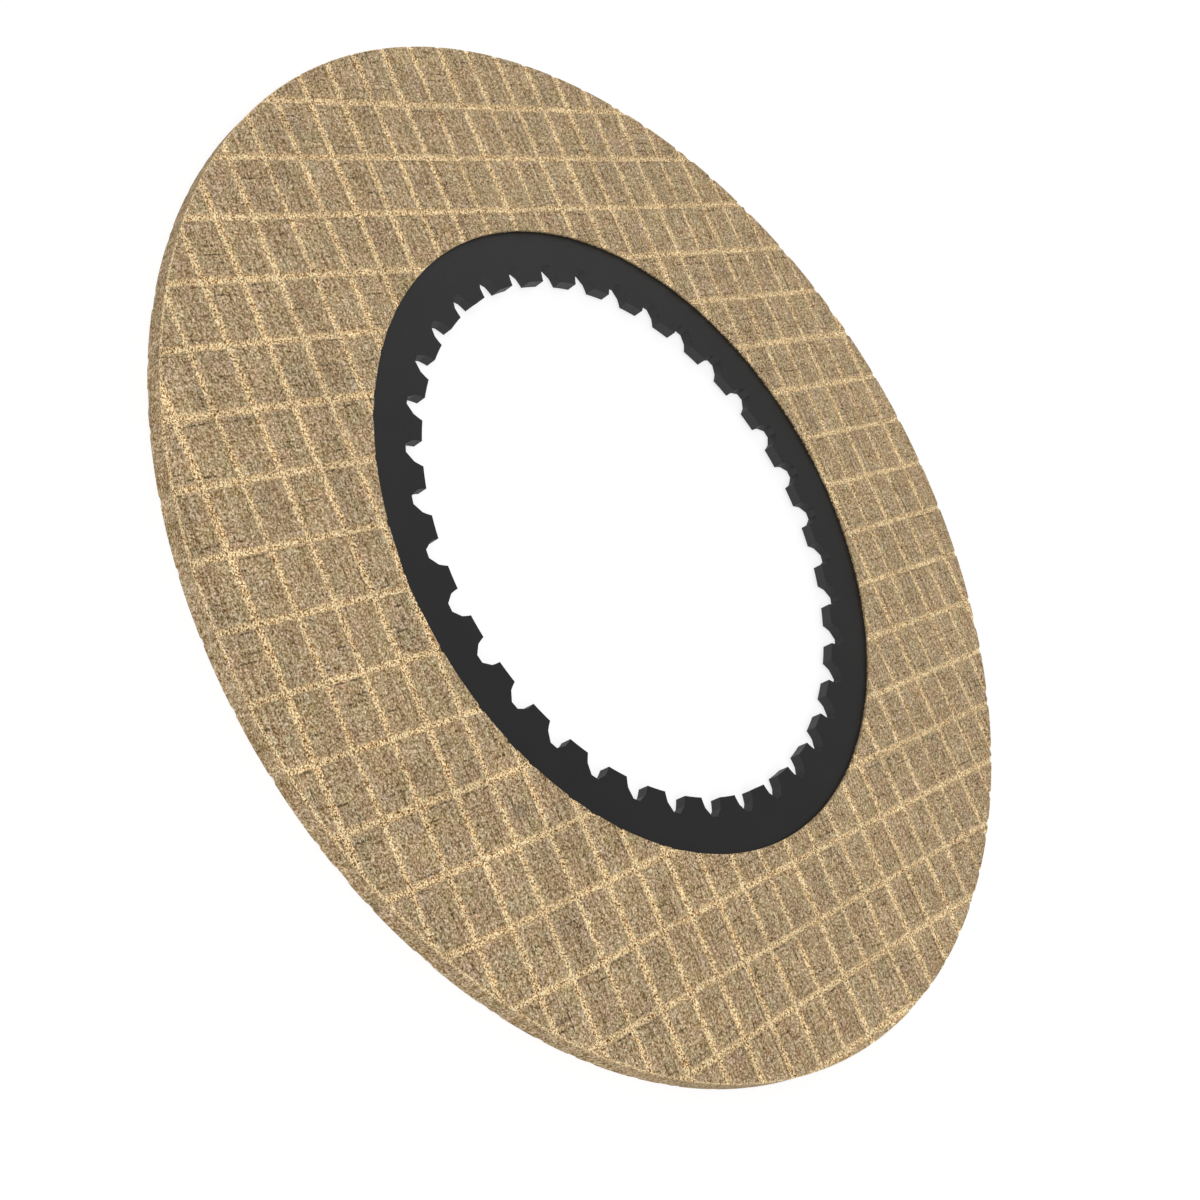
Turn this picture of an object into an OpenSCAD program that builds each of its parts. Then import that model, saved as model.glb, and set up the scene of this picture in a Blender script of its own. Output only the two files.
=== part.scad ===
// Transmission brake disc: a steel core plate with internal spline teeth,
// faced on both sides with a friction lining that is cut by a grid of oil grooves.
// Frame: +Z is the disc's axis, the origin is its centre at mid thickness,
// and +X runs through the middle of a tooth, along one set of grooves.

/* [Core plate] */
// Thickness of the steel core plate
core_t = 2.3; // [1.6:0.1:3.2]

/* [Spline teeth] */
// Number of internal teeth
tooth_count = 36; // [32:1:38]
// Module of the teeth, which is the pitch diameter over the tooth count
tooth_module = 3; // [2.7:0.05:3.2]
// Pressure angle of the involute flanks
pressure_angle = 17.5; // [14.5:0.5:22]
// Height of the teeth inside the pitch circle
tooth_head = 1.8; // [1.4:0.1:2.2]
// Depth of the tooth spaces outside the pitch circle
tooth_foot = 1.7; // [1.3:0.1:2.1]
// Width of a tooth space at the pitch circle
space_w = 4.2; // [3.8:0.1:4.6]
// Width of the narrow root of a tooth space
root_w = 1.5; // [1:0.1:2]
// Angle between the chamfers beside the root and the middle of the space
root_chamfer_angle = 39; // [32:1:46]

/* [Friction linings] */
// Outside diameter of the disc
outer_d = 205; // [190:1:220]
// Bore of the linings
lining_bore_d = 125.6; // [122:0.2:140]
// Thickness of each lining over the core plate
lining_t = 0.9; // [0.7:0.05:1.4]
// Thickness of lining round the edge of the core plate
rim_cover_w = 0.8; // [0.5:0.1:2]
// Bond gap between the edge of the core plate and the linings
rim_gap = 0.05; // [0.02:0.01:0.2]
// Edge break round the outside and the bore of each lining
edge_break = 0.1; // [0.05:0.05:0.3]

/* [Oil grooves] */
// Width of the oil grooves
groove_w = 1.2; // [0.6:0.1:2]
// Depth of the oil grooves
groove_depth = 0.35; // [0.2:0.05:0.5]
// Spacing of the rows, the grooves that run along X
row_pitch = 11.2; // [8:0.1:16]
// Rows on the +Y side of the middle one
rows_ahead = 8; // [5:1:9]
// Rows on the -Y side of the middle one
rows_behind = 9; // [5:1:9]
// Spacing of the columns, the grooves that run along Y
column_pitch = 7.9; // [6:0.1:12]
// Columns on each side of the middle one
columns_each_side = 12; // [8:1:13]
// Shift of the groove grid along X, away from the disc's centre
grid_shift_x = -0.05; // [-2:0.05:2]
// Shift of the groove grid along Y, away from the disc's centre
grid_shift_y = -0.1; // [-2:0.05:2]

/* [Hidden] */
$fn = 240;

// How far a cutter reaches past the surface that it cuts
overcut = 1;
// Straight steps along each involute flank
flank_steps = 8;

core_half_t = core_t / 2;
outer_r = outer_d / 2;
lining_bore_r = lining_bore_d / 2;
lining_top = core_half_t + lining_t;
rebate_r = outer_r - rim_cover_w;
core_r = rebate_r - rim_gap;

pitch_r = tooth_module * tooth_count / 2;
base_r = pitch_r * cos(pressure_angle);
tip_r = pitch_r - tooth_head;
root_r = pitch_r + tooth_foot;
flank_start_r = tip_r - overcut;
flank_end_r = root_r + overcut;
// Half of the angle that a tooth space takes at the pitch circle
space_half_angle = asin(space_w / 2 / pitch_r);

// Pressure angle at radius r; the flank runs straight inwards below the base circle
function angle_at(r) = acos(min(1, base_r / r));
function involute(a) = tan(a) * 180 / PI - a;
// Half of the angle that a tooth space takes at radius r
function half_angle_at(r) = space_half_angle + involute(pressure_angle) - involute(angle_at(r));
function polar(r, a) = [r * cos(a), r * sin(a)];
// One flank, from inside the tip circle to outside the root circle; side is 1 or -1
function flank(side) = [
    for (i = [0 : flank_steps])
        let (r = flank_start_r + (flank_end_r - flank_start_r) * i / flank_steps)
        polar(r, side * half_angle_at(r))
];
function reversed(list) = [for (i = [len(list) - 1 : -1 : 0]) list[i]];

// Space between two involute flanks, pointing along X
module involute_gap() {
    polygon(concat(flank(-1), reversed(flank(1))));
}

// Wedge that narrows a tooth space to its root by a chamfer on each side
module root_wedge() {
    wedge_depth = root_r - flank_start_r + overcut;
    wide_half_w = root_w / 2 + wedge_depth * tan(root_chamfer_angle);
    polygon([
        [root_r - wedge_depth, -wide_half_w],
        [root_r, -root_w / 2],
        [root_r + overcut, -root_w / 2],
        [root_r + overcut, root_w / 2],
        [root_r, root_w / 2],
        [root_r - wedge_depth, wide_half_w]
    ]);
}

// One tooth space, from the bore to the root circle
module tooth_space() {
    intersection() {
        involute_gap();
        root_wedge();
        circle(r = root_r);
    }
}

module core_plate() {
    color([0.2, 0.2, 0.2])
    translate([0, 0, -core_half_t])
    linear_extrude(core_t)
    difference() {
        circle(r = core_r);
        circle(r = tip_r);
        // The tooth on +X has a space half a pitch to each side
        for (i = [0 : tooth_count - 1])
            rotate((i + 0.5) * 360 / tooth_count)
            tooth_space();
    }
}

// Section of one lining: it lies on the core plate, and its rim reaches down to mid thickness
module lining_ring() {
    rotate_extrude()
    polygon([
        [lining_bore_r, core_half_t],
        [rebate_r, core_half_t],
        [rebate_r, 0],
        [outer_r, 0],
        [outer_r, lining_top - edge_break],
        [outer_r - edge_break, lining_top],
        [lining_bore_r + edge_break, lining_top],
        [lining_bore_r, lining_top - edge_break]
    ]);
}

// Cutters for one set of parallel grooves that run along X, side by side along Y
module groove_set(pitch, shift, behind, ahead) {
    reach = outer_r + overcut;
    for (i = [-behind : ahead])
        let (offset_y = shift + i * pitch)
        if (abs(offset_y) < outer_r)
            translate([-reach, offset_y - groove_w / 2, lining_top - groove_depth])
            cube([2 * reach, groove_w, groove_depth + overcut]);
}

// A lining as it lies on the top of the core plate
module lining() {
    color([0.6, 0.52, 0.4])
    difference() {
        lining_ring();
        groove_set(row_pitch, grid_shift_y, rows_behind, rows_ahead);
        rotate(90)
        groove_set(column_pitch, -grid_shift_x, columns_each_side, columns_each_side);
    }
}

module front_lining() {
    lining();
}

// The same ring, turned over about X
module back_lining() {
    rotate([180, 0, 0])
    lining();
}

core_plate();
front_lining();
back_lining();
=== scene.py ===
import math
import random

import bmesh
import bpy
from mathutils import Matrix, Vector
from mathutils.geometry import delaunay_2d_cdt


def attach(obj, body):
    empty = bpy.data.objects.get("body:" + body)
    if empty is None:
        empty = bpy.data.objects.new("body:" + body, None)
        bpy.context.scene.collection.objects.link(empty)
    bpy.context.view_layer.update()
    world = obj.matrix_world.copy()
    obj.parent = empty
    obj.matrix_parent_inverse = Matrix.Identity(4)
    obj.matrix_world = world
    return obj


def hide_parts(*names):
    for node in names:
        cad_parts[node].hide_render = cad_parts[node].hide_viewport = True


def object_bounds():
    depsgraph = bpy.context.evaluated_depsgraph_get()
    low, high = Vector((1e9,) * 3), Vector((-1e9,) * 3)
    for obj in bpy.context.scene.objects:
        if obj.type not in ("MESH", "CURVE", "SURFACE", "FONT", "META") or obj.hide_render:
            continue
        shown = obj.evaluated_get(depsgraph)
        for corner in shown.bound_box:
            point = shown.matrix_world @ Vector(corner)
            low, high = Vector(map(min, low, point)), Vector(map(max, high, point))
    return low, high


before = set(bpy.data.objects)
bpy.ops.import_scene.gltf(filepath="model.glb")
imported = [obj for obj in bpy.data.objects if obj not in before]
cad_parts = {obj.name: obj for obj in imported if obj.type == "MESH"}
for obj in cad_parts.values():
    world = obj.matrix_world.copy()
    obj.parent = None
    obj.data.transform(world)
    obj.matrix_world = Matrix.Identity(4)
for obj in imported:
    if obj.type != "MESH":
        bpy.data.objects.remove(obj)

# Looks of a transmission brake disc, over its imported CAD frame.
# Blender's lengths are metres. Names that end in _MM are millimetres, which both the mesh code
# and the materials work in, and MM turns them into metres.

CAD_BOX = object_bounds()
MM = 0.001

# The disc, as its CAD drawing gives it
OUTER_R_MM = 102.5
BORE_R_MM = 62.8
REBATE_R_MM = 101.7
TOP_MM = 2.05
CORE_TOP_MM = 1.15
EDGE_BREAK_MM = 0.1
GROOVE_W_MM = 1.2
GROOVE_DEPTH_MM = 0.35

# Each set of grooves: spacing, shift of its middle groove, grooves behind and ahead of that,
# how unlike in width they look, and the seed of those widths, all lengths in millimetres
ROWS = {"pitch": 11.2, "shift": -0.1, "behind": 9, "ahead": 8, "unlike": 0.16, "seed": 40}
COLUMNS = {"pitch": 7.9, "shift": -0.05, "behind": 12, "ahead": 12, "unlike": 0.34, "seed": 90}

# How ragged the linings are cut
EDGE_STEP_MM = 0.4
SPARE_STEPS = 8
EDGE_WANDER_MM = 0.12
EDGE_DRIFT_MM = 0.04
DRIFT_KEPT = 0.8
FLOOR_HALF_W_MM = 0.45
WALL_LEAN_MM = 0.28
FRONT_SEED = 11
BACK_SEED = 23

# Limits in the meshing: how far the groove lines overshoot the ring, how near two points may be,
# and the allowance when the triangles inside the bore are left out
OVERSHOOT_MM = 1
JOIN_DISTANCE_MM = 1e-5
BORE_ALLOWANCE_MM = 0.01

# How far apart the lumps of each noise are
PAD_GRAIN_MM = 0.36
WEAVE_GRAIN_MM = 0.9
SHRED_GRAIN_MM = 0.227
FRAY_GRAIN_MM = 0.45
WARMTH_GRAIN_MM = 4.0
MOSS_GRAIN_MM = 3.0
SHINE_GRAIN_MM = 8.0
STAIN_GRAIN_MM = 7.0
CLOUD_GRAIN_MM = 9.0
OXIDE_GRAIN_MM = 0.35

# Dark threads in the pads: the spacing of their lanes along the rows and the columns, and the
# length of their runs and dots. A larger rarity leaves fewer runs.
ROW_LANE_MM = 1.5
COLUMN_LANE_MM = 2.3
THREAD_RUN_MM = 6.0
THREAD_RARITY = 0.57
DOT_MM = 0.31
# A painted shadow beside one edge of some rows, in dark dotted runs
BRINK_OFF_MM = 0.8
BRINK_RUN_MM = 11.0
BRINK_RARITY = 0.55
# How far apart strands lie in the noise, so that no two are alike
LANE_GAP_MM = 37.3
BRINK_GAP_MM = 41.9

# Borders in the materials, each as where a thing starts and where it is whole. Half widths are
# from the middle of a groove or thread.
GROOVE_HALF_W_MM = (0.79, 0.53)
THREAD_HALF_W_MM = (0.22, 0.08)
BRINK_HALF_W_MM = (0.26, 0.1)
# Heights below the face where the threads and the painted shadow beside some rows fade out
THREAD_AND_SHADOW_Z_MM = (TOP_MM - 0.3, TOP_MM - 0.1)
FACE_Z_MM = (CORE_TOP_MM + 0.3, CORE_TOP_MM + 0.45)
FACE_R_MM = (OUTER_R_MM - 0.02, OUTER_R_MM - 0.05)
RIM_TOP_Z_MM = (TOP_MM - 0.68, TOP_MM - 0.48)
RIM_TOP_R_MM = (OUTER_R_MM - 0.22, OUTER_R_MM - 0.06)
BORE_WALL_R_MM = (BORE_R_MM + 0.05, BORE_R_MM + 0.02)
BORE_TOP_Z_MM = (CORE_TOP_MM + 0.15, TOP_MM - 0.2)
# Painted contact shadow at the foot of the lining's bore wall, where it meets the core
CONTACT_SHADOW_Z_MM = (CORE_TOP_MM + 0.28, CORE_TOP_MM + 0.11)
# The core's cut side walls, which are rougher and painted paler as painted light
CUT_WALL_Z_MM = (CORE_TOP_MM - 0.02, CORE_TOP_MM - 0.08)

# How far the frayed fibre moves a border, from one extreme to the other
GROOVE_FRAY_MM = 1.7
BORE_FRAY_MM = 1.2
RIM_Z_FRAY_MM = 0.5
RIM_R_FRAY_MM = 0.4

# How strongly each thing shows, as shares of 1
# How pale the rim's top edge is, on the front lining and on the back
FRONT_RIM_EDGE_PALE = 0.93
BACK_RIM_EDGE_PALE = 0.1
BORE_PALE = (0.2, 0.9)
# How dark the threads and the painted shadow beside some rows are
THREAD_AND_SHADOW_DARK = 0.8
STAIN_DARK = 0.45
# How dark the painted contact shadow at the bore wall's foot is
CONTACT_SHADOW_DARK = 0.88
WEAVE_ALONG_X = 0.05
WEAVE_ALONG_Y = 0.18

# Surfaces
LINING_ROUGHNESS = 0.9
LINING_SPECULAR = 0.1
LINING_RELIEF_MM = 0.12
OXIDE_ROUGHNESS = (0.36, 0.48)
OXIDE_SPECULAR = 0.3
OXIDE_RELIEF_MM = 0.02
CUT_ROUGHER = 0.14
CUT_ROUND_MM = 0.3

# The camera stands where the photograph was taken from
CAMERA_AT_MM = (-267.77, -47.35, 211.79)
CAMERA_AIM_MM = (-20.98, -10.61, 2.05)
CAMERA_ROLL_DEG = 61.15
CAMERA_LENS = 55.03
CAMERA_SENSOR_W = 36
CAMERA_CLIP_START = 0.01

# Light, as shares of full white on a surface that faces it
WORLD_LEVEL = 0.5
KEY_LEVEL = 0.56
FILL_LEVEL = 0.1

# The two softboxes: the direction that each stands in, its distance and its width
KEY_FROM = (-0.6, -0.2, 0.8)
KEY_DISTANCE = 4.0
KEY_SIZE = 3.1
FILL_FROM = (0.55, 0.55, 0.6)
FILL_DISTANCE = 1.2
FILL_SIZE = 0.93

# The floor: its width, its grey where light meets it, and its grey and glow as the camera sees it
FLOOR_SIZE = 3.0
FLOOR_GREY = 0.8
FLOOR_SEEN_GREY = 0.27
FLOOR_LIFT = 0.78


def linear(red, green, blue):
    """A colour given as 8-bit screen values, as the linear colour that a shader takes."""
    def channel(value):
        value /= 255
        return value / 12.92 if value <= 0.04045 else ((value + 0.055) / 1.055) ** 2.4
    return (channel(red), channel(green), channel(blue), 1.0)


WHITE = (1, 1, 1, 1)
# Colour of the dark threads, also used for the painted shadow beside some rows
THREAD_AND_SHADOW_COLOUR = linear(56, 44, 30)
STAIN_COLOUR = linear(104, 92, 84)
# Painted contact shadow where the lining's bore wall meets the core
CONTACT_SHADOW_COLOUR = linear(50, 40, 26)
# Painted light: the core's cut side walls are painted paler than its face, for the light and sheen
# they catch
PAINTED_WALL_LIGHT_COLOUR = linear(52, 52, 52)


class Shade:
    """One node material. Values are numbers, colours or other nodes' outputs."""

    def __init__(self, name):
        self.material = bpy.data.materials.new(name)
        self.material.use_nodes = True
        self.tree = self.material.node_tree
        self.shader = self.tree.nodes["Principled BSDF"]
        self.output = self.tree.nodes["Material Output"]

    def feed(self, socket, value):
        if isinstance(value, bpy.types.NodeSocket):
            self.tree.links.new(value, socket)
        else:
            socket.default_value = value

    def node(self, kind, inputs=None, **settings):
        made = self.tree.nodes.new(kind)
        for key, value in settings.items():
            setattr(made, key, value)
        for key, value in (inputs or {}).items():
            self.feed(made.inputs[key], value)
        return made

    def surface(self, inputs):
        """Feeds the shader, and gives the finished material."""
        for key, value in inputs.items():
            self.feed(self.shader.inputs[key], value)
        return self.material

    def math(self, operation, *values):
        made = self.node("ShaderNodeMath", operation=operation)
        for socket, value in zip(made.inputs, values):
            self.feed(socket, value)
        return made.outputs[0]

    def position_mm(self):
        """The point on the piece in its own frame, in millimetres."""
        coordinates = self.node("ShaderNodeTexCoord")
        scaled = self.node("ShaderNodeVectorMath", operation="SCALE")
        self.feed(scaled.inputs[0], coordinates.outputs["Object"])
        scaled.inputs["Scale"].default_value = 1 / MM
        return scaled.outputs[0]

    def split(self, vector):
        return self.node("ShaderNodeSeparateXYZ", {"Vector": vector}).outputs

    def join(self, x, y, z):
        return self.node("ShaderNodeCombineXYZ", {"X": x, "Y": y, "Z": z}).outputs[0]

    def length(self, vector):
        made = self.node("ShaderNodeVectorMath", {0: vector}, operation="LENGTH")
        return made.outputs["Value"]

    def noise(self, vector, grain_mm, detail=2.0, roughness=0.5, distortion=0.0):
        """Noise about 0.5, whose lumps are about grain_mm apart."""
        inputs = {"Vector": vector, "Scale": 1 / grain_mm, "Detail": detail,
                  "Roughness": roughness, "Distortion": distortion}
        return self.node("ShaderNodeTexNoise", inputs).outputs[0]

    def streaks(self, across, grain_mm):
        """Noise about 0 that changes in one direction only."""
        inputs = {"W": across, "Scale": 1 / grain_mm, "Detail": 3.0, "Roughness": 0.6}
        noise = self.node("ShaderNodeTexNoise", inputs, noise_dimensions="1D").outputs[0]
        return self.math("SUBTRACT", noise, 0.5)

    def chance(self, number):
        """A fixed random value from 0 to 1 for each whole number."""
        made = self.node("ShaderNodeTexWhiteNoise", {"W": number}, noise_dimensions="1D")
        return made.outputs[0]

    def step(self, value, start, end, low=0.0, high=1.0):
        """A smooth step from low, where value is start, to high, where it is end."""
        inputs = {"Value": value, "From Min": start, "From Max": end, "To Min": low,
                  "To Max": high}
        made = self.node("ShaderNodeMapRange", inputs, interpolation_type="SMOOTHSTEP")
        return made.outputs[0]

    def ramp(self, value, stops):
        made = self.node("ShaderNodeValToRGB", {"Fac": value})
        elements = made.color_ramp.elements
        while len(elements) < len(stops):
            elements.new(0.5)
        for element, (place, colour) in zip(elements, stops):
            element.position = place
            element.color = colour
        return made.outputs["Color"]

    def mix(self, factor, first, second, blend="MIX"):
        """Two colours mixed. A Mix node has sockets for every type: the colours are 6 and 7."""
        inputs = {0: factor, 6: first, 7: second}
        made = self.node("ShaderNodeMix", inputs, data_type="RGBA", blend_type=blend)
        return made.outputs[2]

    def mix_vectors(self, factor, first, second):
        """Two vectors mixed, which a Mix node takes in sockets 4 and 5."""
        inputs = {0: factor, 4: first, 5: second}
        return self.node("ShaderNodeMix", inputs, data_type="VECTOR").outputs[1]

    def tint(self, vector, grain_mm, detail, roughness, low, high):
        """A colour to multiply with, which drifts between low and high in patches."""
        patches = self.noise(vector, grain_mm, detail, roughness)
        return self.ramp(patches, ((0.3, low), (0.7, high)))

    def bump(self, height, strength, depth_mm, normal=None):
        inputs = {"Height": height, "Strength": strength, "Distance": depth_mm * MM}
        if normal is not None:
            inputs["Normal"] = normal
        return self.node("ShaderNodeBump", inputs).outputs[0]


def groove_number(shade, across, grooves):
    """How many spacings a point is from the middle groove of a set, and that as a whole number."""
    shifted = shade.math("SUBTRACT", across, grooves["shift"])
    steps = shade.math("DIVIDE", shifted, grooves["pitch"])
    return steps, shade.math("ROUND", steps)


def distance_to_groove(shade, across, grooves):
    """How far a point is, in millimetres, from the nearest groove of a set, some of them wider."""
    steps, number = groove_number(shade, across, grooves)
    number = shade.math("MAXIMUM", number, -grooves["behind"])
    number = shade.math("MINIMUM", number, grooves["ahead"])
    off = shade.math("ABSOLUTE", shade.math("SUBTRACT", steps, number))
    own_chance = shade.chance(shade.math("ADD", number, grooves["seed"]))
    width = shade.math("SUBTRACT", own_chance, 0.5)
    narrower = shade.math("MULTIPLY", width, -grooves["unlike"])
    return shade.math("MULTIPLY_ADD", off, grooves["pitch"], narrower)


def dotted_runs(shade, strand, run_mm, rarity):
    """Runs of dark dots down a strand, and nothing between the runs."""
    present = shade.step(shade.noise(strand, run_mm), rarity, rarity + 0.06)
    dots = shade.step(shade.noise(strand, DOT_MM, detail=1.0), 0.46, 0.52)
    return shade.math("MULTIPLY", present, dots)


def broken_threads(shade, across, along, spacing_mm):
    """Short dark dashes that follow one set of grooves, one lane of them every spacing_mm."""
    lanes = shade.math("DIVIDE", across, spacing_mm)
    lane = shade.math("FLOOR", lanes)
    middle = shade.math("MULTIPLY_ADD", shade.chance(lane), 0.6, 0.2)
    off = shade.math("ABSOLUTE", shade.math("SUBTRACT", shade.math("FRACT", lanes), middle))
    line = shade.step(shade.math("MULTIPLY", off, spacing_mm), *THREAD_HALF_W_MM)
    strand = shade.join(along, shade.math("MULTIPLY", lane, LANE_GAP_MM), 0.0)
    runs = dotted_runs(shade, strand, THREAD_RUN_MM, THREAD_RARITY)
    return shade.math("MULTIPLY", line, runs)


def brink_shadow(shade, across, along, grooves):
    """Painted shadow: dark dotted runs along one edge of some of the grooves of a set."""
    steps, number = groove_number(shade, across, grooves)
    off = shade.math("MULTIPLY", shade.math("SUBTRACT", steps, number), grooves["pitch"])
    from_brink = shade.math("ABSOLUTE", shade.math("ADD", off, BRINK_OFF_MM))
    line = shade.step(from_brink, *BRINK_HALF_W_MM)
    strand = shade.join(along, shade.math("MULTIPLY", number, BRINK_GAP_MM), 0.0)
    runs = dotted_runs(shade, strand, BRINK_RUN_MM, BRINK_RARITY)
    return shade.math("MULTIPLY", line, runs)


def dark_threads_and_shadow(shade, place):
    """Where dark threads show in the pads, with the painted shadow beside some rows. Both stay near
    the face, and off the rim's side.
    """
    x, y, z = shade.split(place)
    along_x = broken_threads(shade, y, x, ROW_LANE_MM)
    along_y = broken_threads(shade, x, y, COLUMN_LANE_MM)
    threads_and_shadow = shade.math("MAXIMUM", along_x, along_y)
    # Adds a painted shadow along one edge of some rows
    threads_and_shadow = shade.math("MAXIMUM", threads_and_shadow, brink_shadow(shade, y, x, ROWS))
    return shade.math("MULTIPLY", threads_and_shadow, shade.step(z, *THREAD_AND_SHADOW_Z_MM))


def pad_grain(shade, place):
    """Short matted fibres, with a faint weave along both sets of grooves."""
    x, y, z = shade.split(place)
    drawn = shade.join(shade.math("MULTIPLY", x, 1.2), y, z)
    fibre = shade.noise(drawn, PAD_GRAIN_MM, detail=3.0, roughness=0.6, distortion=0.7)
    along_y = shade.math("MULTIPLY", shade.streaks(x, WEAVE_GRAIN_MM), WEAVE_ALONG_Y)
    along_x = shade.streaks(y, WEAVE_GRAIN_MM)
    woven = shade.math("MULTIPLY_ADD", along_x, WEAVE_ALONG_X, along_y)
    return shade.math("ADD", fibre, woven)


def pad_colour(shade, place, grain, threads_and_shadow):
    """Grey-brown fibre in patches of slightly unlike hue, with dark threads, a painted shadow
    beside some rows, and a few stains.
    """
    x, y, z = shade.split(place)
    fibre = shade.ramp(grain, (
        (0.345, linear(95, 70, 34)),
        (0.405, linear(124, 99, 61)),
        (0.50, linear(172, 147, 111)),
        (0.595, linear(214, 192, 159)),
        (0.655, linear(240, 222, 194)),
    ))
    warmth = shade.tint(place, WARMTH_GRAIN_MM, 5.0, 0.9,
                        (0.915, 0.98, 1.095, 1), (1.085, 1.01, 0.91, 1))
    moss = shade.tint(shade.join(y, z, x), MOSS_GRAIN_MM, 5.0, 0.9,
                      (1.0, 0.89, 0.98, 1), (1.0, 1.108, 0.98, 1))
    colour = shade.mix(1.0, fibre, warmth, "MULTIPLY")
    colour = shade.mix(1.0, colour, moss, "MULTIPLY")
    # Dark threads and the painted shadow beside some rows, in one dark colour
    colour = shade.mix(shade.math("MULTIPLY", threads_and_shadow, THREAD_AND_SHADOW_DARK), colour, THREAD_AND_SHADOW_COLOUR)
    stains = shade.noise(place, STAIN_GRAIN_MM, detail=4.0, roughness=0.6)
    return shade.mix(shade.step(stains, 0.66, 0.74, 0.0, STAIN_DARK), colour, STAIN_COLOUR)


def cut_fibre_colour(shade, place):
    """Pale shreds of cut fibre, with brown gaps between them."""
    x, y, z = shade.split(place)
    hairs = shade.join(shade.math("MULTIPLY", x, 1.4), z, shade.math("MULTIPLY", y, 0.95))
    shreds = shade.noise(hairs, SHRED_GRAIN_MM, detail=1.0, roughness=0.6, distortion=0.4)
    return shade.ramp(shreds, (
        (0.44, linear(98, 55, 2)),
        (0.485, linear(255, 203, 135)),
        (0.58, linear(255, 244, 204)),
    ))


def frayed(shade, distance, fray, swing_mm):
    """A distance that the fray moves to and fro, by swing_mm from one extreme to the other."""
    return shade.math("MULTIPLY_ADD", shade.math("SUBTRACT", fray, 0.5), swing_mm, distance)


def cut_in_grooves(shade, place, radius, fray):
    """1 in the oil grooves and 0 on the pads and the sides, with a frayed edge between."""
    x, y, z = shade.split(place)
    row = distance_to_groove(shade, y, ROWS)
    column = distance_to_groove(shade, x, COLUMNS)
    nearest = frayed(shade, shade.math("MINIMUM", row, column), fray, GROOVE_FRAY_MM)
    on_face = shade.math("MULTIPLY", shade.step(z, *FACE_Z_MM), shade.step(radius, *FACE_R_MM))
    return shade.math("MULTIPLY", shade.step(nearest, *GROOVE_HALF_W_MM), on_face)


def pale_rim_edge(shade, z, radius, fray, rim_edge_pale):
    """Pale cut fibre colour along the rim's top edge, as strong as the given share."""
    high = frayed(shade, z, fray, RIM_Z_FRAY_MM)
    outer = frayed(shade, radius, fray, RIM_R_FRAY_MM)
    return shade.math("MULTIPLY", shade.step(high, *RIM_TOP_Z_MM, 0.0, rim_edge_pale),
                      shade.step(outer, *RIM_TOP_R_MM))


def lining_material(name, rim_edge_pale):
    """Fibre friction material: grey-brown grain on the pads, paler cut fibre in the grooves, on
    the rim's top edge and down the bore, and a painted contact shadow, a dark line where the bore
    wall meets the core. The second argument is how pale the rim's top edge is, from 0 to 1."""
    shade = Shade(name)
    place = shade.position_mm()
    x, y, z = shade.split(place)
    radius = shade.length(shade.join(x, y, 0.0))
    grain = pad_grain(shade, place)
    threads_and_shadow = dark_threads_and_shadow(shade, place)
    fray = shade.noise(place, FRAY_GRAIN_MM, detail=2.0, roughness=0.6)

    bore = shade.step(radius, *BORE_WALL_R_MM)
    bore_z = frayed(shade, z, fray, BORE_FRAY_MM)
    at_bore = shade.math("MULTIPLY", bore, shade.step(bore_z, *BORE_TOP_Z_MM, *BORE_PALE))
    in_grooves = cut_in_grooves(shade, place, radius, fray)
    at_rim = pale_rim_edge(shade, z, radius, fray, rim_edge_pale)
    pale = shade.math("MAXIMUM", shade.math("MAXIMUM", in_grooves, at_rim), at_bore)

    pads = pad_colour(shade, place, grain, threads_and_shadow)
    colour = shade.mix(pale, pads, cut_fibre_colour(shade, place))
    shine = shade.tint(shade.join(z, x, y), SHINE_GRAIN_MM, 4.0, 0.65,
                       (0.86, 0.86, 0.86, 1), (1.14, 1.14, 1.14, 1))
    colour = shade.mix(1.0, colour, shine, "MULTIPLY")
    # A painted contact shadow darkens the bore wall's foot, where it meets the core
    contact_shadow = shade.math("MULTIPLY", bore, shade.step(bore_z, *CONTACT_SHADOW_Z_MM))
    colour = shade.mix(shade.math("MULTIPLY", contact_shadow, CONTACT_SHADOW_DARK), colour, CONTACT_SHADOW_COLOUR)
    relief = shade.math("SUBTRACT", grain, shade.math("MULTIPLY", threads_and_shadow, 0.3))
    return shade.surface({
        "Base Color": colour,
        "Roughness": LINING_ROUGHNESS,
        "Specular IOR Level": LINING_SPECULAR,
        "Normal": shade.bump(relief, 0.7, LINING_RELIEF_MM),
    })


def core_material():
    """Steel with a dark satin oxide coat, rougher on the cut side walls of the teeth, which are
    painted paler as painted light for the light and sheen they catch.
    """
    shade = Shade("core_oxide_steel")
    place = shade.position_mm()
    z = shade.split(place)[2]
    cut = shade.step(shade.math("ABSOLUTE", z), *CUT_WALL_Z_MM)
    grain = shade.noise(place, OXIDE_GRAIN_MM, detail=3.0, roughness=0.6)
    coat = shade.ramp(shade.noise(place, CLOUD_GRAIN_MM, detail=3.0), (
        (0.30, (0.0090, 0.0090, 0.0092, 1)),
        (0.70, (0.0116, 0.0115, 0.0114, 1)),
    ))
    satin = shade.step(grain, 0.2, 0.8, *OXIDE_ROUGHNESS)
    # The corners between the cut faces look a little rounded, and the flat faces stay as they are
    rounded = shade.node("ShaderNodeBevel", {"Radius": CUT_ROUND_MM * MM}, samples=6).outputs[0]
    sharp = shade.node("ShaderNodeNewGeometry").outputs["Normal"]
    normal = shade.mix_vectors(cut, sharp, rounded)
    return shade.surface({
        # The cut side walls are painted paler, painted light for what they catch
        "Base Color": shade.mix(cut, coat, PAINTED_WALL_LIGHT_COLOUR),
        "Roughness": shade.math("MULTIPLY_ADD", cut, CUT_ROUGHER, satin),
        "Specular IOR Level": OXIDE_SPECULAR,
        "Normal": shade.bump(grain, 0.15, OXIDE_RELIEF_MM, normal),
    })


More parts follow.
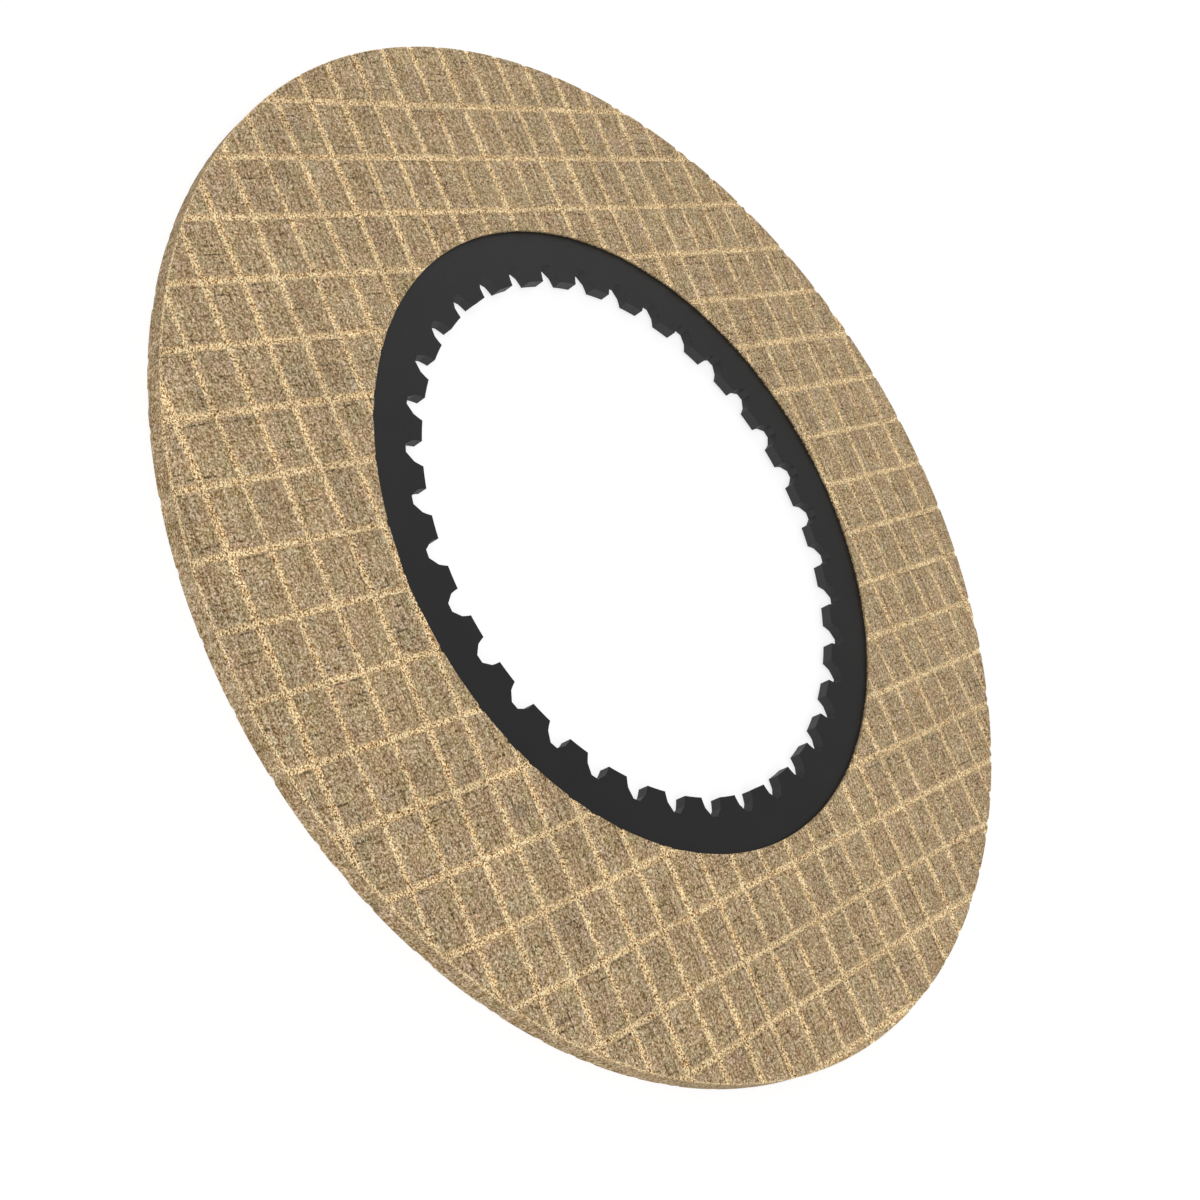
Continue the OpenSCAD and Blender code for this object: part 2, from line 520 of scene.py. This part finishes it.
class Groove:
    """One straight oil groove, whose two edges wander a little as they go."""

    def __init__(self, centre, rng):
        self.centre = centre
        self.count = int(2 * OUTER_R_MM / EDGE_STEP_MM) + SPARE_STEPS
        self.start = -EDGE_STEP_MM * self.count / 2
        self.wander = {}
        for side in (-1, 1):
            drift = 0.0
            wander = []
            for _ in range(self.count + 1):
                drift = DRIFT_KEPT * drift + rng.uniform(-EDGE_DRIFT_MM, EDGE_DRIFT_MM)
                wander.append(drift + rng.uniform(-EDGE_WANDER_MM, EDGE_WANDER_MM))
            self.wander[side] = wander

    def floor_edge(self, side, index):
        """Half width of the groove's floor on one side, at one step along it."""
        return FLOOR_HALF_W_MM + self.wander[side][index]

    def height(self, along, across):
        """Height of the lining's face where this groove alone is cut."""
        offset = across - self.centre
        if abs(offset) > GROOVE_W_MM:
            return TOP_MM
        side = 1 if offset > 0 else -1
        steps = (along - self.start) / EDGE_STEP_MM
        index = min(max(int(steps), 0), self.count - 1)
        share = min(max(steps - index, 0.0), 1.0)
        edge = (1 - share) * self.floor_edge(side, index) + share * self.floor_edge(side, index + 1)
        lift = (abs(offset) - edge) / WALL_LEAN_MM
        return TOP_MM - GROOVE_DEPTH_MM * (1 - min(max(lift, 0.0), 1.0))

    def lines(self):
        """Runs of (along, across) points down the edges of the floor and the pads, on the ring."""
        for side in (-1, 1):
            for lean in (0.0, WALL_LEAN_MM):
                run = []
                for index in range(self.count + 1):
                    along = self.start + index * EDGE_STEP_MM
                    across = self.centre + side * (self.floor_edge(side, index) + lean)
                    radius = math.hypot(along, across)
                    if BORE_R_MM - OVERSHOOT_MM < radius < OUTER_R_MM + OVERSHOOT_MM:
                        run.append((along, across))
                    elif run:
                        yield run
                        run = []
                if run:
                    yield run


def cut_grooves(grooves, rng):
    """The grooves of one set, from the one furthest behind to the one furthest ahead."""
    numbers = range(-grooves["behind"], grooves["ahead"] + 1)
    return [Groove(grooves["shift"] + k * grooves["pitch"], rng) for k in numbers]


def circle_points(radius):
    count = round(2 * math.pi * radius / EDGE_STEP_MM)
    angles = [2 * math.pi * k / count for k in range(count)]
    return [(radius * math.cos(angle), radius * math.sin(angle)) for angle in angles]


def lining_mesh(name, seed):
    """A closed ring of lining as it lies on top of the core, its grooves cut with ragged edges."""
    rng = random.Random(seed)
    rows = cut_grooves(ROWS, rng)
    columns = cut_grooves(COLUMNS, rng)

    def face_height(x, y):
        radius = math.hypot(x, y)
        broken = max(0.0, radius - (OUTER_R_MM - EDGE_BREAK_MM), BORE_R_MM + EDGE_BREAK_MM - radius)
        height = TOP_MM - broken
        row = rows[nearest_index(rows, y)]
        column = columns[nearest_index(columns, x)]
        return min(height, row.height(x, y), column.height(y, x))

    points = []
    edges = []

    def add_run(run, closed):
        first = len(points)
        points.extend(Vector(point) for point in run)
        edges.extend((k, k + 1) for k in range(first, len(points) - 1))
        if closed:
            edges.append((len(points) - 1, first))

    for radius in (BORE_R_MM, BORE_R_MM + EDGE_BREAK_MM, OUTER_R_MM - EDGE_BREAK_MM, OUTER_R_MM):
        add_run(circle_points(radius), True)
    for row in rows:
        for run in row.lines():
            add_run(run, False)
    for column in columns:
        for run in column.lines():
            add_run([(across, along) for along, across in run], False)
    flat_points, _, triangles, *_ = delaunay_2d_cdt(points, edges, [], 0, JOIN_DISTANCE_MM)

    mesh = bmesh.new()
    verts = [mesh.verts.new((p.x * MM, p.y * MM, face_height(p.x, p.y) * MM)) for p in flat_points]
    for triangle in triangles:
        middle = sum((flat_points[k] for k in triangle), Vector((0, 0))) / 3
        if BORE_R_MM - BORE_ALLOWANCE_MM < middle.length < OUTER_R_MM:
            mesh.faces.new([verts[k] for k in triangle])
    bmesh.ops.delete(mesh, geom=[v for v in mesh.verts if not v.link_faces], context="VERTS")
    close_underside(mesh)
    bmesh.ops.recalc_face_normals(mesh, faces=mesh.faces)
    made = bpy.data.meshes.new(name)
    mesh.to_mesh(made)
    mesh.free()
    return made


def nearest_index(grooves, across):
    pitch = grooves[1].centre - grooves[0].centre
    index = round((across - grooves[0].centre) / pitch)
    return min(max(index, 0), len(grooves) - 1)


def sink(mesh, loop, radius_mm, height_mm):
    """A copy of a loop of edges on another radius and height, joined to the first by a wall."""
    made = bmesh.ops.extrude_edge_only(mesh, edges=loop)["geom"]
    for vert in (item for item in made if isinstance(item, bmesh.types.BMVert)):
        flat = Vector((vert.co.x, vert.co.y)).normalized() * radius_mm * MM
        vert.co = (flat.x, flat.y, height_mm * MM)
    return [item for item in made if isinstance(item, bmesh.types.BMEdge)
            and len(item.link_faces) == 1]


def close_underside(mesh):
    """Walls at the bore and the rim, and the seat that lies on the core plate."""
    open_edges = [edge for edge in mesh.edges if len(edge.link_faces) == 1]
    middle_r = (BORE_R_MM + OUTER_R_MM) / 2 * MM
    bore = [edge for edge in open_edges if edge.verts[0].co.xy.length < middle_r]
    rim = [edge for edge in open_edges if edge.verts[0].co.xy.length > middle_r]
    bore_foot = sink(mesh, bore, BORE_R_MM, CORE_TOP_MM)
    rim_foot = sink(mesh, rim, OUTER_R_MM, 0.0)
    rebate_foot = sink(mesh, rim_foot, REBATE_R_MM, 0.0)
    rebate_top = sink(mesh, rebate_foot, REBATE_R_MM, CORE_TOP_MM)
    bmesh.ops.bridge_loops(mesh, edges=bore_foot + rebate_top)


def add_lining(node, seed, material, turned_over):
    """The visible lining that stands for one CAD lining."""
    piece = bpy.data.objects.new(node + "_fibre", lining_mesh(node + "_fibre", seed))
    bpy.context.collection.objects.link(piece)
    piece.data.materials.append(material)
    if turned_over:
        piece.rotation_euler.x = math.pi
    bpy.context.view_layer.update()
    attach(piece, "root")
    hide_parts(node)


def dress_core():
    material = core_material()
    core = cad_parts["core_plate"]
    for slot in core.material_slots:
        slot.material = material


def add_camera():
    camera = bpy.data.objects.new("camera", bpy.data.cameras.new("camera"))
    bpy.context.collection.objects.link(camera)
    camera.data.lens = CAMERA_LENS
    camera.data.sensor_width = CAMERA_SENSOR_W
    camera.data.clip_start = CAMERA_CLIP_START
    at = Vector(CAMERA_AT_MM) * MM
    level = (Vector(CAMERA_AIM_MM) * MM - at).to_track_quat("-Z", "Y").to_matrix()
    rolled = level @ Matrix.Rotation(math.radians(CAMERA_ROLL_DEG), 3, "Z")
    camera.matrix_world = Matrix.Translation(at) @ rolled.to_4x4()
    bpy.context.scene.camera = camera


def add_softbox(name, direction, distance, size, level):
    """A square lamp aimed at the disc; level is the share of full white that it adds head on."""
    lamp = bpy.data.objects.new(name, bpy.data.lights.new(name, "AREA"))
    bpy.context.collection.objects.link(lamp)
    lamp.data.size = size
    lamp.data.energy = level * math.pi ** 2 * distance ** 2
    toward = Vector(direction).normalized()
    turned = (-toward).to_track_quat("-Z", "Y").to_matrix().to_4x4()
    lamp.matrix_world = Matrix.Translation(toward * distance) @ turned


def add_lights():
    world = bpy.data.worlds.new("studio")
    bpy.context.scene.world = world
    world.use_nodes = True
    tree = world.node_tree
    light = tree.nodes["Background"]
    light.inputs["Strength"].default_value = WORLD_LEVEL
    light.inputs["Color"].default_value = WHITE
    seen = tree.nodes.new("ShaderNodeBackground")
    seen.inputs["Color"].default_value = WHITE
    path = tree.nodes.new("ShaderNodeLightPath")
    mix = tree.nodes.new("ShaderNodeMixShader")
    tree.links.new(path.outputs["Is Camera Ray"], mix.inputs[0])
    tree.links.new(light.outputs[0], mix.inputs[1])
    tree.links.new(seen.outputs[0], mix.inputs[2])
    tree.links.new(mix.outputs[0], tree.nodes["World Output"].inputs["Surface"])
    add_softbox("key", KEY_FROM, KEY_DISTANCE, KEY_SIZE, KEY_LEVEL)
    add_softbox("fill", FILL_FROM, FILL_DISTANCE, FILL_SIZE, FILL_LEVEL)


def floor_material():
    """Pale where light meets it. Rays that picture it see it dimmer with an even glow added, so
    that it shows white, and still shows the disc's soft shadow."""
    shade = Shade("floor")
    grey = (FLOOR_GREY, FLOOR_GREY, FLOOR_GREY, 1)
    seen_grey = (FLOOR_SEEN_GREY, FLOOR_SEEN_GREY, FLOOR_SEEN_GREY, 1)
    lit = shade.node("ShaderNodeBsdfDiffuse", {"Color": grey}).outputs[0]
    dim = shade.node("ShaderNodeBsdfDiffuse", {"Color": seen_grey}).outputs[0]
    glow = shade.node("ShaderNodeEmission", {"Color": WHITE, "Strength": FLOOR_LIFT}).outputs[0]
    lifted = shade.node("ShaderNodeAddShader", {0: dim, 1: glow}).outputs[0]
    path = shade.node("ShaderNodeLightPath").outputs
    seen = shade.math("MAXIMUM", path["Is Camera Ray"], path["Is Glossy Ray"])
    seen = shade.math("MAXIMUM", seen, path["Is Transmission Ray"])
    mix = shade.node("ShaderNodeMixShader", {"Fac": seen, 1: lit, 2: lifted}).outputs[0]
    shade.feed(shade.output.inputs["Surface"], mix)
    return shade.material


def add_floor():
    """A plain square floor, as high as the disc's lowest point."""
    half = FLOOR_SIZE / 2
    corners = [(-half, -half, 0), (half, -half, 0), (half, half, 0), (-half, half, 0)]
    mesh = bpy.data.meshes.new("floor")
    mesh.from_pydata(corners, [], [(0, 1, 2, 3)])
    mesh.materials.append(floor_material())
    floor = bpy.data.objects.new("floor", mesh)
    bpy.context.collection.objects.link(floor)
    floor.location.z = CAD_BOX[0].z


add_camera()
add_lights()
add_floor()
dress_core()
add_lining("front_lining", FRONT_SEED, lining_material("front_fibre", FRONT_RIM_EDGE_PALE), False)
add_lining("back_lining", BACK_SEED, lining_material("back_fibre", BACK_RIM_EDGE_PALE), True)
bpy.context.scene.view_settings.view_transform = "Standard"
